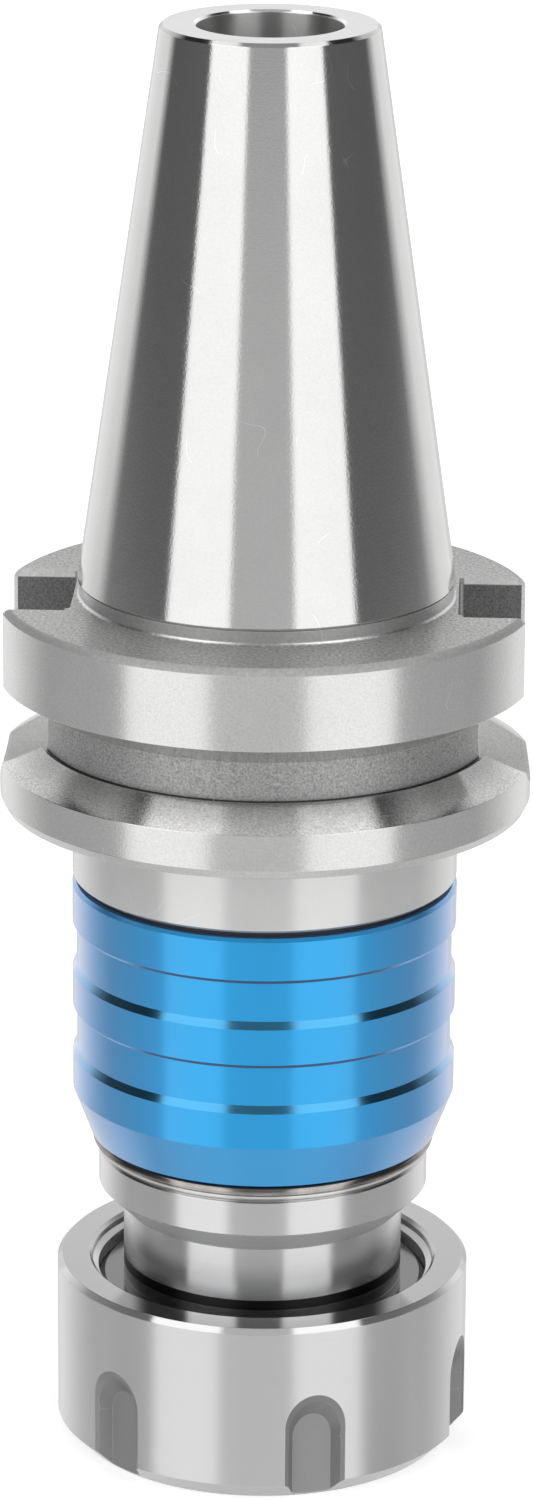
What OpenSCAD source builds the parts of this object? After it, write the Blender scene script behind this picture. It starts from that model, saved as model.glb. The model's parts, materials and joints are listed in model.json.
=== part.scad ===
// Floating tapping holder: a 7:24 taper shank with a flange carries a collet
// spindle that floats along the axis against a spring.
// Millimetres. The origin is the centre of the gauge plane, +Z runs up the taper.

/* [Shank taper] */
// Diameter of the taper at the gauge plane
gauge_d = 44.45; // [43:0.05:46]
// Length of the taper above the gauge plane
taper_len = 65.4; // [60:0.1:72]
// Chamfer round the small end
small_end_chamfer = 0.4; // [0.2:0.1:1.5]
// Distance that the neck stands back from the taper's foot
taper_relief = 0.2; // [0.1:0.05:0.6]
// Depth of the grinding groove in the neck
foot_groove_depth = 0.25; // [0.1:0.05:0.4]
// Width of the grinding groove under the taper's foot
foot_groove_w = 0.3; // [0.2:0.05:0.6]

/* [Pull stud socket] */
// Diameter of the plain pilot bore
pilot_d = 17; // [16.6:0.1:19]
// Depth of the pilot bore
pilot_depth = 6; // [4:0.5:10]
// Chamfer at the mouth of the pilot bore
pilot_chamfer = 0.3; // [0.2:0.1:1]
// Major diameter of the thread for the pull stud
stud_thread_d = 16; // [14:0.5:16.5]

/* [Flange] */
// Outside diameter of both flange rings
flange_d = 63; // [61:0.5:66]
// Distance from the gauge plane down to the flange
flange_drop = 2; // [1.2:0.1:3]
// Thickness of the flange
flange_h = 25; // [24:0.5:28]
// Distance from the gauge plane down to the middle of the gripper groove
groove_drop = 16.7; // [16:0.1:17.4]
// Width of the gripper groove at the outside diameter
groove_w = 10; // [9:0.1:11]
// Diameter of the gripper groove's root
groove_root_d = 53; // [52:0.5:55]
// Radius on the upper rim of the flange
flange_top_radius = 0.8; // [0.3:0.1:1]
// Height of the chamfer on the lower rim of the flange
flange_low_chamfer = 1; // [0.5:0.1:1.5]
// Radius between the neck and the flange
flange_fillet = 0.4; // [0.3:0.1:1]
// Depth of the tool relief at the foot of the gripper groove's root
root_relief = 0.4; // [0.2:0.05:0.5]
// Width of that tool relief
root_relief_w = 0.6; // [0.4:0.05:0.8]

/* [Drive slots] */
// Width of each drive slot
slot_w = 16.1; // [15:0.1:17]
// Distance from the axis to the floor of a drive slot
slot_floor = 22.6; // [22.2:0.1:23.5]
// Distance from the gauge plane down to the centre of the slot's round end
slot_drop = 16.35; // [15.5:0.05:17]
// Radius of the slot's inner corners
slot_corner = 0.6; // [0.4:0.1:2.5]
// Chamfer along the slot on the flange's upper face
slot_chamfer = 0.8; // [0.3:0.1:1]

/* [Nose and guide tube] */
// Diameter of the nose under the flange
nose_d = 45.9; // [45:0.1:47]
// Length of the nose under the flange
nose_len = 9.5; // [8:0.1:12]
// Chamfer at the lower rim of the nose
nose_chamfer = 0.35; // [0.2:0.05:0.8]
// Diameter of the guide tube that the sleeve slides on
tube_d = 40; // [39.5:0.1:40.3]
// Length of tube left below the groove of the retaining wire
tube_lip = 0.6; // [0.5:0.05:1.5]

/* [Cover sleeve] */
// Diameter of the raised bands
sleeve_d = 46; // [45.6:0.1:48]
// Height of the first band, with its chamfer
first_band_h = 5.1; // [4.5:0.1:7]
// Height of the other bands
band_h = 4.4; // [3.5:0.1:6]
// Height of each shallow groove
shallow_h = 4.7; // [3.5:0.1:6]
// Depth of each shallow groove
shallow_depth = 0.5; // [0.3:0.05:0.8]
// Height of the step above each shallow groove
step_h = 0.5; // [0.2:0.05:0.8]
// Height of the bevel below each shallow groove
bevel_h = 0.9; // [0.6:0.1:1.6]
// Number of shallow grooves
groove_count = 2; // [1:1:3]
// Height of the cone at the lower end
cone_h = 5.5; // [4:0.1:7]
// Diameter at the lower end of the cone
cone_end_d = 41.8; // [41.5:0.1:43]
// Chamfer at the upper end
sleeve_chamfer = 0.4; // [0.3:0.05:1]
// Radial clearance between the sleeve and the tube
sleeve_gap = 0.05; // [0.03:0.01:0.1]

/* [Sleeve seal and retaining wire] */
// Height of seal that shows between the nose and the sleeve
seal_show = 0.7; // [0.3:0.05:0.8]
// Thickness of the seal
seal_t = 1.2; // [1:0.1:2]
// Outside diameter of the seal
seal_d = 43.8; // [43:0.1:44]
// Diameter of the retaining wire
wire_d = 1.6; // [1.2:0.1:1.8]
// Outside diameter of the retaining wire ring
wire_ring_d = 41.3; // [41:0.1:41.5]
// Opening of the split wire ring, in degrees
wire_opening = 9; // [5:1:20]

/* [Floating spindle] */
// Length of the float
travel = 10; // [6:0.5:12]
// Diameter of the guided part
guide_d = 32; // [31:0.1:33]
// Radial running clearance of the spindle in its bore
guide_gap = 0.03; // [0.02:0.01:0.08]
// Length of the guided part above the collar
guide_len = 46; // [44:0.5:50]
// Gap between the collar and the end of the tube
stop_gap = 0.05; // [0.02:0.01:0.2]
// Diameter of the collar
collar_d = 39.8; // [38:0.1:40]
// Height of the collar
collar_h = 4.4; // [3.5:0.1:6]
// Height of the chamfer under the collar
collar_cone_h = 3; // [1.5:0.1:4]
// Diameter of the neck
neck_d = 33.8; // [33:0.1:35]
// Length of the neck
neck_len = 9.4; // [8:0.1:14]
// Major diameter of the thread for the nut
nut_thread_d = 39.9; // [39:0.1:40]
// Length of the thread for the nut
nut_thread_len = 11.7; // [11:0.1:12]
// Chamfer at the start of the thread
thread_chamfer = 0.75; // [0.4:0.05:1.2]

/* [Collet seat] */
// Mouth diameter of the collet seat
seat_d = 33; // [32:0.1:33.5]
// Depth of the collet seat
seat_len = 32; // [28:0.5:34]
// Half angle of the collet seat, in degrees
seat_angle = 8; // [7:0.5:8]
// Diameter of the bore above the seat that clears the tap's shank
shank_bore_d = 21; // [18:0.5:22]
// Length of the bore above the seat
shank_bore_len = 19.6; // [14:0.2:20]

/* [Drive balls] */
// Diameter of each drive ball
ball_d = 6; // [5:0.1:6.4]
// Clearance round each drive ball
ball_gap = 0.05; // [0.03:0.01:0.1]
// Distance from the sleeve's upper end to the first balls
ball_drop = 7; // [6:0.5:8]
// Distance between two balls of a row
ball_pitch = 8; // [7:0.5:8.5]

/* [Spring and tie bolt] */
// Diameter of the spring chamber
chamber_d = 20; // [19:0.1:21]
// Length of the spring chamber
chamber_len = 52; // [51:0.5:54]
// Length of the spring at rest
spring_len = 36; // [33:0.5:37]
// Diameter of the spring's wire
spring_wire = 2.2; // [1.6:0.1:2.4]
// Outside diameter of the spring
spring_d = 17; // [16:0.1:18]
// Number of turns of the spring
spring_turns = 8; // [6:1:9]
// Diameter of the tie bolt
bolt_d = 8; // [6:0.5:9]
// Diameter of the bolt's head
bolt_head_d = 13; // [12:0.1:13.5]
// Height of the bolt's head
bolt_head_h = 8; // [6:0.5:8.5]
// Width across flats of the bolt's socket
bolt_key = 6; // [5:0.5:7]
// Length of bolt screwed into the spindle
bolt_grip = 16; // [10:0.5:17]
// Thickness of both spring washers
washer_t = 2; // [1.5:0.1:2.5]
// Thickness of the retaining clip
clip_t = 1; // [0.8:0.1:1.2]
// Depth of the clip's groove
clip_groove = 0.6; // [0.4:0.1:0.9]
// Diameter of the spindle seal's cord
oring_w = 1.9; // [1.5:0.1:2.2]

/* [Collet nut] */
// Outside diameter of the nut
nut_d = 50; // [48:0.1:52]
// Height of the nut
nut_h = 22.5; // [22:0.1:23.5]
// Length of neck that the nut covers above the thread
nut_cover = 2.4; // [2:0.1:3]
// Mouth diameter at the rear of the nut
nut_mouth_d = 41.5; // [41:0.1:42.5]
// Depth of the rear mouth
nut_mouth_depth = 1.1; // [0.8:0.1:1.3]
// Chamfer round the rear mouth
nut_mouth_chamfer = 0.4; // [0.2:0.1:0.6]
// Chamfer round the rear face
nut_rear_chamfer = 0.6; // [0.4:0.1:1.2]
// Chamfer round the front face
nut_front_chamfer = 2.3; // [1.5:0.1:2.5]
// Number of wrench slots
wrench_slots = 6; // [4:1:8]
// Width of a wrench slot at its floor
wrench_floor_w = 4.7; // [4:0.1:5.4]
// Depth of a wrench slot below the outside diameter
wrench_depth = 1.95; // [1.5:0.05:2.2]
// Height of a wrench slot's floor above the front face
wrench_h = 10.6; // [9:0.1:12]
// Depth of the chamfer along a wrench slot, at its middle
wrench_chamfer = 0.5; // [0.4:0.05:0.6]
// Rotation of the nut as it is screwed up, in degrees
nut_rotation = -12.5; // [-30:0.5:30]
// Clear opening in the front of the nut
nut_opening_d = 34.6; // [34:0.1:35.4]
// Thickness of the lip round that opening
nut_lip = 2.9; // [2.6:0.1:3]

/* [Closing ring] */
// Outside diameter of the closing ring
ring_d = 37.7; // [37:0.1:38]
// Height of the closing ring
ring_h = 3.7; // [3.2:0.1:3.8]
// Diameter of the lip that draws the collet out
ring_lip_d = 30.6; // [30:0.1:31]
// Sideways offset of that lip
ring_offset = 0.9; // [0.5:0.1:1]
// Diameter at the narrow end of the ring's cone
ring_cone_d = 31.2; // [31:0.1:31.6]
// Radial running clearance of the ring in the nut
ring_gap = 0.05; // [0.03:0.01:0.1]
// Thickness of the spring ring that keeps the closing ring in
keeper_t = 0.8; // [0.6:0.1:0.9]
// Radial width of that spring ring
keeper_w = 1.2; // [0.9:0.1:1.3]

/* [Hidden] */
$fn = 96;

// Radius lost for each millimetre up a 7:24 taper
taper_slope = 7 / 24 / 2;
// Slope of the gripper groove's flanks
flank_rise = tan(30);
// Overrun of a cutting tool past the face it opens
over = 1;
// Small edge break on turned pieces
edge = 0.3;

// Levels on the shank, from the gauge plane
z_small_end = taper_len;
z_flange_top = -flange_drop;
z_flange_low = z_flange_top - flange_h;
z_groove_mid = -groove_drop;
z_nose_end = z_flange_low - nose_len;

// Levels on the sleeve
z_sleeve_top = z_nose_end - seal_show;
rib_h = step_h + shallow_h + bevel_h + band_h;
sleeve_len = first_band_h + groove_count * rib_h + cone_h;
z_sleeve_low = z_sleeve_top - sleeve_len;
z_wire = z_sleeve_low - sleeve_gap - wire_d / 2;
z_tube_end = z_wire - wire_d / 2 - tube_lip;

// Levels on the spindle
z_collar_top = z_tube_end - stop_gap;
z_collar_low = z_collar_top - collar_h;
z_neck_top = z_collar_low - collar_cone_h;
z_shoulder = z_neck_top - neck_len;
z_spindle_end = z_shoulder - nut_thread_len;
z_spindle_top = z_collar_top + guide_len;
z_seat_end = z_spindle_end + seat_len;

// Levels in the spring chamber
top_room = 1;
clip_lip = 2;
slack = 0.05;
z_bore_top = z_spindle_top + top_room;
z_chamber_top = z_bore_top + chamber_len;
z_clip = z_bore_top + clip_lip;
z_seat_washer = z_clip + clip_t;
z_spring = z_seat_washer + washer_t;
z_top_washer = z_spring + spring_len;
z_bolt_head = z_top_washer + washer_t;

// Levels in the nut
keeper_shelf = 0.5;
z_nut_rear = z_shoulder + nut_cover;
z_nut_front = z_nut_rear - nut_h;
z_ring_low = z_nut_front + nut_lip + ring_gap;
z_keeper = z_ring_low + ring_h + ring_gap;
z_ring_bore = z_keeper + keeper_t + slack + keeper_shelf;

// Radii shared by mating pieces
bore_r = guide_d / 2 + guide_gap;
nut_bore_r = nut_thread_d / 2 + slack;
ring_bore_r = ring_d / 2 + ring_gap;
ball_r = ball_d / 2;
ball_ring_r = tube_d / 2 - ball_r;
chamber_r = chamber_d / 2;

// The seal in the spindle's groove touches the bore
oring_r = oring_w / 2;
oring_at = bore_r - slack / 2 - oring_r;
z_oring = z_spindle_top - oring_r - 4 * edge;

// The spring's end turns lie closed and the others share the rest of its length
closed_pitch = spring_wire + slack;
open_rise = spring_len - spring_wire - 2 * closed_pitch - 2 * slack;

// Drive balls stand in three rows round the tube, one above another
ball_rows = 3;
balls_in_row = 3;
ball_row_start = 90;
function ball_angle(i) = ball_row_start + floor(i / balls_in_row) * 360 / ball_rows;
function ball_z(i) = z_sleeve_top - ball_drop - (i % balls_in_row) * ball_pitch;

function taper_r(z) = gauge_d / 2 - z * taper_slope;

// Points along an arc, from one angle to another
function arc(x, y, r, from, to, steps = 6) =
    [for (i = [0:steps]) let (a = from + (to - from) * i / steps) [x + r * cos(a), y + r * sin(a)]];

// Outline of the shank: taper, neck, two flange rings, nose and guide tube
function shank_outline() =
    let (
        flange_r = flange_d / 2,
        neck_r = gauge_d / 2 - taper_relief,
        root_r = groove_root_d / 2,
        flank_h = (flange_r - root_r) * flank_rise,
        lip_r = root_r + root_relief_w,
        upper = z_groove_mid + groove_w / 2,
        lower = z_groove_mid - groove_w / 2,
        z_lip = lower + (flange_r - lip_r) * flank_rise
    )
    concat(
        [
            [0, z_small_end],
            [taper_r(z_small_end) - small_end_chamfer, z_small_end],
            [taper_r(z_small_end - small_end_chamfer), z_small_end - small_end_chamfer],
            [taper_r(0), 0],
            [neck_r - foot_groove_depth, 0],
            [neck_r - foot_groove_depth, -foot_groove_w],
            [neck_r, -foot_groove_w]
        ],
        arc(neck_r + flange_fillet, z_flange_top + flange_fillet, flange_fillet, 180, 270),
        arc(flange_r - flange_top_radius, z_flange_top - flange_top_radius, flange_top_radius, 90, 0),
        [
            [flange_r, upper],
            [root_r, upper - flank_h],
            [root_r, z_lip - root_relief],
            [lip_r, z_lip - root_relief],
            [lip_r, z_lip],
            [flange_r, lower],
            [flange_r, z_flange_low + flange_low_chamfer],
            [flange_r - flange_low_chamfer / 2, z_flange_low],
            [nose_d / 2, z_flange_low],
            [nose_d / 2, z_nose_end + nose_chamfer],
            [nose_d / 2 - nose_chamfer, z_nose_end],
            [tube_d / 2, z_nose_end],
            [tube_d / 2, z_tube_end + edge],
            [tube_d / 2 - edge, z_tube_end],
            [0, z_tube_end]
        ]
    );

// Outline of everything bored out along the shank's axis
function shank_bore_outline() = [
    [0, z_small_end + over],
    [pilot_d / 2 + pilot_chamfer + over, z_small_end + over],
    [pilot_d / 2, z_small_end - pilot_chamfer],
    [pilot_d / 2, z_small_end - pilot_depth],
    [stud_thread_d / 2, z_small_end - pilot_depth],
    [stud_thread_d / 2, z_chamber_top],
    [chamber_r, z_chamber_top],
    [chamber_r, z_seat_washer + slack],
    [chamber_r + clip_groove, z_seat_washer + slack],
    [chamber_r + clip_groove, z_clip - slack],
    [chamber_r, z_clip - slack],
    [chamber_r, z_bore_top],
    [bore_r, z_bore_top],
    [bore_r, z_tube_end + edge],
    [bore_r + edge + over, z_tube_end - over],
    [0, z_tube_end - over]
];

// Half outline of the drive slot across its width, from its floor outwards
function slot_side(reach) =
    concat(
        arc(slot_w / 2 - slot_corner, slot_corner, slot_corner, -90, 0),
        [[slot_w / 2, reach]]
    );

// A drive slot: straight above its centre and round below it, with a radius along its floor
module drive_slot() {
    half = slot_w / 2;
    reach = flange_d / 2 - slot_floor + over;
    rise = slot_drop - flange_drop + over;
    side = slot_side(reach);
    last = len(side) - 1;
    translate([slot_floor, 0, -slot_drop]) {
        rotate([0, 90, 0]) rotate_extrude() polygon(concat([[0, 0]], side, [[0, reach]]));
        linear_extrude(rise)
            polygon(concat(
                [for (p = side) [p.y, p.x]],
                [for (i = [last:-1:0]) [side[i].y, -side[i].x]]
            ));
    }
    translate([slot_floor + slot_corner, 0, 0])
        rotate([90, 0, 90])
            linear_extrude(reach)
                polygon([
                    [-half - slot_chamfer - over, z_flange_top + over],
                    [half + slot_chamfer + over, z_flange_top + over],
                    [half, z_flange_top - slot_chamfer],
                    [-half, z_flange_top - slot_chamfer]
                ]);
}

// A radial hole through the guide tube for one drive ball
module ball_hole(i) {
    rotate([0, 0, ball_angle(i)])
        translate([bore_r - over, 0, ball_z(i)])
            rotate([0, 90, 0])
                cylinder(h = tube_d / 2 - bore_r + 2 * over, r = ball_r + ball_gap);
}

module taper_shank() {
    color("silver")
        difference() {
            rotate_extrude() polygon(shank_outline());
            rotate_extrude() polygon(shank_bore_outline());
            drive_slot();
            rotate([0, 0, 180]) drive_slot();
            for (i = [0:ball_rows * balls_in_row - 1]) ball_hole(i);
            translate([0, 0, z_wire])
                rotate_extrude() translate([wire_ring_d / 2 - wire_d / 2, 0]) circle(wire_d / 2 + slack);
        }
}

// Outside of the sleeve from top to bottom: bands, shallow grooves and the end cone
function sleeve_outside() =
    let (r = sleeve_d / 2, low = r - shallow_depth)
    concat(
        [[r - sleeve_chamfer, z_sleeve_top], [r, z_sleeve_top - sleeve_chamfer]],
        [for (i = [0:groove_count - 1])
            let (z = z_sleeve_top - first_band_h - i * rib_h)
            each [
                [r, z],
                [low, z - step_h],
                [low, z - step_h - shallow_h],
                [r, z - step_h - shallow_h - bevel_h]
            ]],
        [[r, z_sleeve_low + cone_h], [cone_end_d / 2, z_sleeve_low]]
    );

module cover_sleeve() {
    inner_r = tube_d / 2 + sleeve_gap;
    seat_r = seal_d / 2 + sleeve_gap;
    z_seat = z_nose_end - seal_t - slack;
    color("dodgerblue")
        rotate_extrude()
            polygon(concat(
                [[inner_r, z_seat], [seat_r, z_seat], [seat_r, z_sleeve_top]],
                sleeve_outside(),
                [[inner_r, z_sleeve_low]]
            ));
}

module sleeve_seal() {
    color("black")
        translate([0, 0, z_nose_end - seal_t])
            difference() {
                cylinder(h = seal_t, d = seal_d);
                translate([0, 0, -over]) cylinder(h = seal_t + 2 * over, d = tube_d + 2 * sleeve_gap);
            }
}

module sleeve_retaining_wire() {
    color("dimgray")
        translate([0, 0, z_wire])
            rotate([0, 0, 90 + wire_opening / 2])
                rotate_extrude(angle = 360 - wire_opening)
                    translate([wire_ring_d / 2 - wire_d / 2, 0]) circle(wire_d / 2);
}

module drive_ball(i) {
    color("lightgray")
        rotate([0, 0, ball_angle(i)])
            translate([ball_ring_r, 0, ball_z(i)])
                sphere(ball_r);
}

// A flat washer with its edges broken
module washer(outer_r, inner_r) {
    rotate_extrude()
        polygon([
            [inner_r, 0],
            [outer_r - edge, 0],
            [outer_r, edge],
            [outer_r, washer_t - edge],
            [outer_r - edge, washer_t],
            [inner_r, washer_t]
        ]);
}

module spring_seat_washer() {
    color("gray")
        translate([0, 0, z_seat_washer])
            washer(chamber_r - slack, bolt_d / 2 + edge);
}

module spring_top_washer() {
    color("gray")
        translate([0, 0, z_top_washer])
            washer(chamber_r - 2 * slack, bolt_d / 2 + slack);
}

// An internal circlip: a split ring with two lugs and their plier holes
module seat_clip() {
    outer_r = chamber_r + clip_groove - slack;
    ring_w = 1.9;
    lug_r = 2;
    hole_r = 1;
    lug_at = chamber_r - slack - lug_r;
    lug_angle = 22;
    opening = 24;
    color("dimgray")
        translate([0, 0, z_clip])
            linear_extrude(clip_t)
                difference() {
                    union() {
                        difference() {
                            circle(outer_r);
                            circle(outer_r - ring_w);
                        }
                        for (s = [-1, 1])
                            rotate(s * lug_angle - 90) translate([lug_at, 0]) circle(lug_r);
                    }
                    polygon([
                        [0, 0],
                        [-2 * outer_r * sin(opening / 2), -2 * outer_r * cos(opening / 2)],
                        [2 * outer_r * sin(opening / 2), -2 * outer_r * cos(opening / 2)]
                    ]);
                    for (s = [-1, 1])
                        rotate(s * lug_angle - 90) translate([lug_at, 0]) circle(hole_r);
                }
}

// Height of the spring's wire after a number of turns
function coil_z(t) =
    t < 1 ? closed_pitch * t
    : t > spring_turns - 1 ? closed_pitch + open_rise + closed_pitch * (t - spring_turns + 1)
    : closed_pitch + open_rise * (t - 1) / (spring_turns - 2);

// The spring is a round wire swept along its helix
module return_spring() {
    steps = 20;
    sides = 8;
    rings = spring_turns * steps;
    wire_r = spring_wire / 2;
    mean_r = spring_d / 2 - wire_r;
    points = [
        for (i = [0:rings], j = [0:sides - 1])
            let (a = 360 * i / steps, b = 360 * j / sides, r = mean_r + wire_r * cos(b))
            [r * cos(a), r * sin(a), coil_z(i / steps) + wire_r * sin(b)]
    ];
    walls = [
        for (i = [0:rings - 1], j = [0:sides - 1])
            let (k = (j + 1) % sides)
            each [
                [i * sides + j, (i + 1) * sides + j, (i + 1) * sides + k],
                [i * sides + j, (i + 1) * sides + k, i * sides + k]
            ]
    ];
    ends = [[for (j = [0:sides - 1]) j], [for (j = [sides - 1:-1:0]) rings * sides + j]];
    color("slategray")
        translate([0, 0, z_spring + wire_r + slack])
            polyhedron(points = points, faces = concat(walls, ends));
}

// Outline of the spindle: guided part, collar, neck and the thread for the nut
function spindle_outline() = [
    [0, z_spindle_top],
    [guide_d / 2 - 2 * edge, z_spindle_top],
    [guide_d / 2, z_spindle_top - 2 * edge],
    [guide_d / 2, z_collar_top],
    [collar_d / 2 - edge, z_collar_top],
    [collar_d / 2, z_collar_top - edge],
    [collar_d / 2, z_collar_low],
    [neck_d / 2, z_neck_top],
    [neck_d / 2, z_shoulder],
    [nut_thread_d / 2 - thread_chamfer, z_shoulder],
    [nut_thread_d / 2, z_shoulder - thread_chamfer],
    [nut_thread_d / 2, z_spindle_end + thread_chamfer],
    [nut_thread_d / 2 - thread_chamfer, z_spindle_end],
    [0, z_spindle_end]
];

// Outline of the collet seat and the bore above it, with its drilled end
function seat_outline() =
    let (
        small_r = seat_d / 2 - seat_len * tan(seat_angle),
        bore_end = z_seat_end + shank_bore_len
    )
    [
        [0, z_spindle_end - over],
        [seat_d / 2 + over * tan(seat_angle), z_spindle_end - over],
        [small_r, z_seat_end],
        [shank_bore_d / 2, z_seat_end],
        [shank_bore_d / 2, bore_end - shank_bore_d / 2 * tan(31)],
        [0, bore_end]
    ];

// A groove along the spindle that one row of drive balls runs in
module ball_groove(row) {
    first = ball_z(0) + ball_r + travel + edge;
    last = ball_z(balls_in_row - 1) - ball_r - edge;
    rotate([0, 0, ball_row_start + row * 360 / ball_rows])
        translate([ball_ring_r, 0, last])
            cylinder(h = first - last, r = ball_r + ball_gap);
}

module float_spindle() {
    color("silver")
        difference() {
            rotate_extrude() polygon(spindle_outline());
            rotate_extrude() polygon(seat_outline());
            translate([0, 0, z_spindle_top - bolt_grip - 2])
                cylinder(h = bolt_grip + 2 + over, r = bolt_d / 2 + slack);
            for (row = [0:ball_rows - 1]) ball_groove(row);
            translate([0, 0, z_oring])
                rotate_extrude()
                    translate([oring_at - oring_r - slack, -oring_r - 2 * slack])
                        square([2 * oring_w, oring_w + 4 * slack]);
        }
}

module spindle_seal() {
    color("black")
        translate([0, 0, z_oring])
            rotate_extrude() translate([oring_at, 0]) circle(oring_r);
}

// A socket head bolt from the top washer down into the spindle
module tie_bolt() {
    head_r = bolt_head_d / 2;
    z_tip = z_spindle_top - bolt_grip;
    color("dimgray")
        difference() {
            rotate_extrude()
                polygon([
                    [0, z_tip],
                    [bolt_d / 2 - 2 * edge, z_tip],
                    [bolt_d / 2, z_tip + 2 * edge],
                    [bolt_d / 2, z_bolt_head],
                    [head_r, z_bolt_head],
                    [head_r, z_bolt_head + bolt_head_h - edge],
                    [head_r - edge, z_bolt_head + bolt_head_h],
                    [0, z_bolt_head + bolt_head_h]
                ]);
            translate([0, 0, z_bolt_head + bolt_head_h / 2])
                cylinder(h = bolt_head_h / 2 + over, r = bolt_key / sqrt(3), $fn = 6);
        }
}

// One wrench slot, open at the front: a flat floor, sloping walls, a raked round end and a chamfer
module wrench_slot() {
    half = wrench_floor_w / 2;
    floor_x = nut_d / 2 - wrench_depth;
    tool_angle = 28;
    tool_tilt = 28;
    // Half width gained for each millimetre out from the floor
    spread = tan(tool_angle)
        / sqrt(pow(cos(tool_tilt), 2) - pow(sin(tool_tilt) * tan(tool_angle), 2));
    apex_x = floor_x - half / spread;
    depth = wrench_depth + over;
    z_floor_end = z_nut_front + wrench_h;
    // Rise of the section's centre for each millimetre out from the apex
    shear = sin(tool_tilt) * cos(tool_tilt) * (1 + pow(tan(tool_angle), 2))
        / (pow(cos(tool_tilt), 2) - pow(sin(tool_tilt) * tan(tool_angle), 2));
    reach = half / spread;
    // Height of the section's upper edge over its centre, for each millimetre
    half_height = tan(tool_tilt + tool_angle) - shear;
    z_apex = z_floor_end - reach * (shear + half_height);
    length = (reach + depth) / cos(tool_tilt) * 1.6;
    intersection() {
        union() {
            translate([apex_x, 0, z_apex])
                rotate([0, 90 - tool_tilt, 0])
                    cylinder(h = length, r1 = 0, r2 = length * tan(tool_angle));
            translate([0, 0, z_nut_front - over])
                linear_extrude(z_apex + reach * shear - z_nut_front + over)
                    polygon([
                        [apex_x, 0],
                        [floor_x + depth, -(reach + depth) * spread],
                        [floor_x + depth, (reach + depth) * spread]
                    ]);
        }
        translate([floor_x, -nut_d / 2, z_nut_front - 2 * over])
            cube([depth - 0.2, nut_d, nut_h]);
    }
    wrench_slot_chamfer(
        half + (wrench_depth - wrench_chamfer) * spread,
        z_floor_end + (wrench_depth - wrench_chamfer) * tan(tool_tilt + tool_angle)
    );
}

// The chamfer along a wrench slot, from the half width and height of the slot where it starts
module wrench_slot_chamfer(half, z_top) {
    flare = tan(65);
    // The cutter starts inside the slot and comes out through its walls
    sunk = 0.2;
    depth = sunk + wrench_chamfer + over;
    start = half - sunk * flare;
    z_mid = z_top - half;
    translate([nut_d / 2 - wrench_chamfer - sunk, 0, 0]) {
        translate([0, 0, z_mid])
            rotate([0, 90, 0])
                cylinder(h = depth, r1 = start, r2 = start + depth * flare);
        translate([0, 0, z_nut_front - over])
            linear_extrude(z_mid - z_nut_front + over)
                polygon([
                    [0, -start],
                    [depth, -start - depth * flare],
                    [depth, start + depth * flare],
                    [0, start]
                ]);
    }
}

// Outline of everything bored out along the nut's axis
function nut_bore_outline() =
    let (mouth_r = nut_mouth_d / 2, open_r = nut_opening_d / 2, flare = 1.4)
    [
        [0, z_nut_rear + over],
        [mouth_r + nut_mouth_chamfer + over, z_nut_rear + over],
        [mouth_r, z_nut_rear - nut_mouth_chamfer],
        [mouth_r, z_nut_rear - nut_mouth_depth],
        [nut_bore_r, z_nut_rear - nut_mouth_depth - (mouth_r - nut_bore_r) / 2],
        [nut_bore_r, z_ring_bore],
        [ring_bore_r, z_ring_bore],
        [ring_bore_r, z_keeper + keeper_t + slack],
        [ring_bore_r + clip_groove, z_keeper + keeper_t + slack],
        [ring_bore_r + clip_groove, z_keeper - slack],
        [ring_bore_r, z_keeper - slack],
        [ring_bore_r, z_nut_front + nut_lip],
        [open_r, z_nut_front + nut_lip],
        [open_r, z_nut_front + flare],
        [open_r + flare + over, z_nut_front - over],
        [0, z_nut_front - over]
    ];

module collet_nut() {
    r = nut_d / 2;
    color("silver")
        difference() {
            rotate_extrude()
                polygon([
                    [0, z_nut_rear],
                    [r - nut_rear_chamfer, z_nut_rear],
                    [r, z_nut_rear - nut_rear_chamfer],
                    [r, z_nut_front + nut_front_chamfer],
                    [r - nut_front_chamfer, z_nut_front],
                    [0, z_nut_front]
                ]);
            rotate_extrude() polygon(nut_bore_outline());
            for (i = [0:wrench_slots - 1])
                rotate([0, 0, nut_rotation + i * 360 / wrench_slots]) wrench_slot();
        }
}

// The ring that bears on the collet: a cone below, an off-centre lip above
module closing_ring() {
    lip_h = 1.3;
    bearing_h = ring_h - lip_h;
    color("gray")
        translate([0, 0, z_ring_low])
            difference() {
                cylinder(h = ring_h, d = ring_d);
                translate([0, 0, -slack])
                    cylinder(h = bearing_h + slack, d1 = ring_cone_d, d2 = ring_cone_d + 2 * bearing_h * tan(30));
                translate([ring_offset, 0, bearing_h - slack])
                    cylinder(h = lip_h + over, d = ring_lip_d);
            }
}

module ring_keeper() {
    outer_r = ring_bore_r + clip_groove - slack;
    color("dimgray")
        translate([0, 0, z_keeper])
            rotate([0, 0, 90 + wire_opening / 2])
                rotate_extrude(angle = 360 - wire_opening)
                    translate([outer_r - keeper_w, 0]) square([keeper_w, keeper_t]);
}

taper_shank();
cover_sleeve();
sleeve_seal();
sleeve_retaining_wire();
drive_ball(0);  // drive_ball_1
drive_ball(1);  // drive_ball_2
drive_ball(2);  // drive_ball_3
drive_ball(3);  // drive_ball_4
drive_ball(4);  // drive_ball_5
drive_ball(5);  // drive_ball_6
drive_ball(6);  // drive_ball_7
drive_ball(7);  // drive_ball_8
drive_ball(8);  // drive_ball_9
spring_seat_washer();
seat_clip();
return_spring();
float_spindle();
tie_bolt();
spring_top_washer();
spindle_seal();
closing_ring();
collet_nut();
ring_keeper();
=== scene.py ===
import json
import math
from types import SimpleNamespace

import bmesh
import bpy
from mathutils import Matrix, Vector


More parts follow.
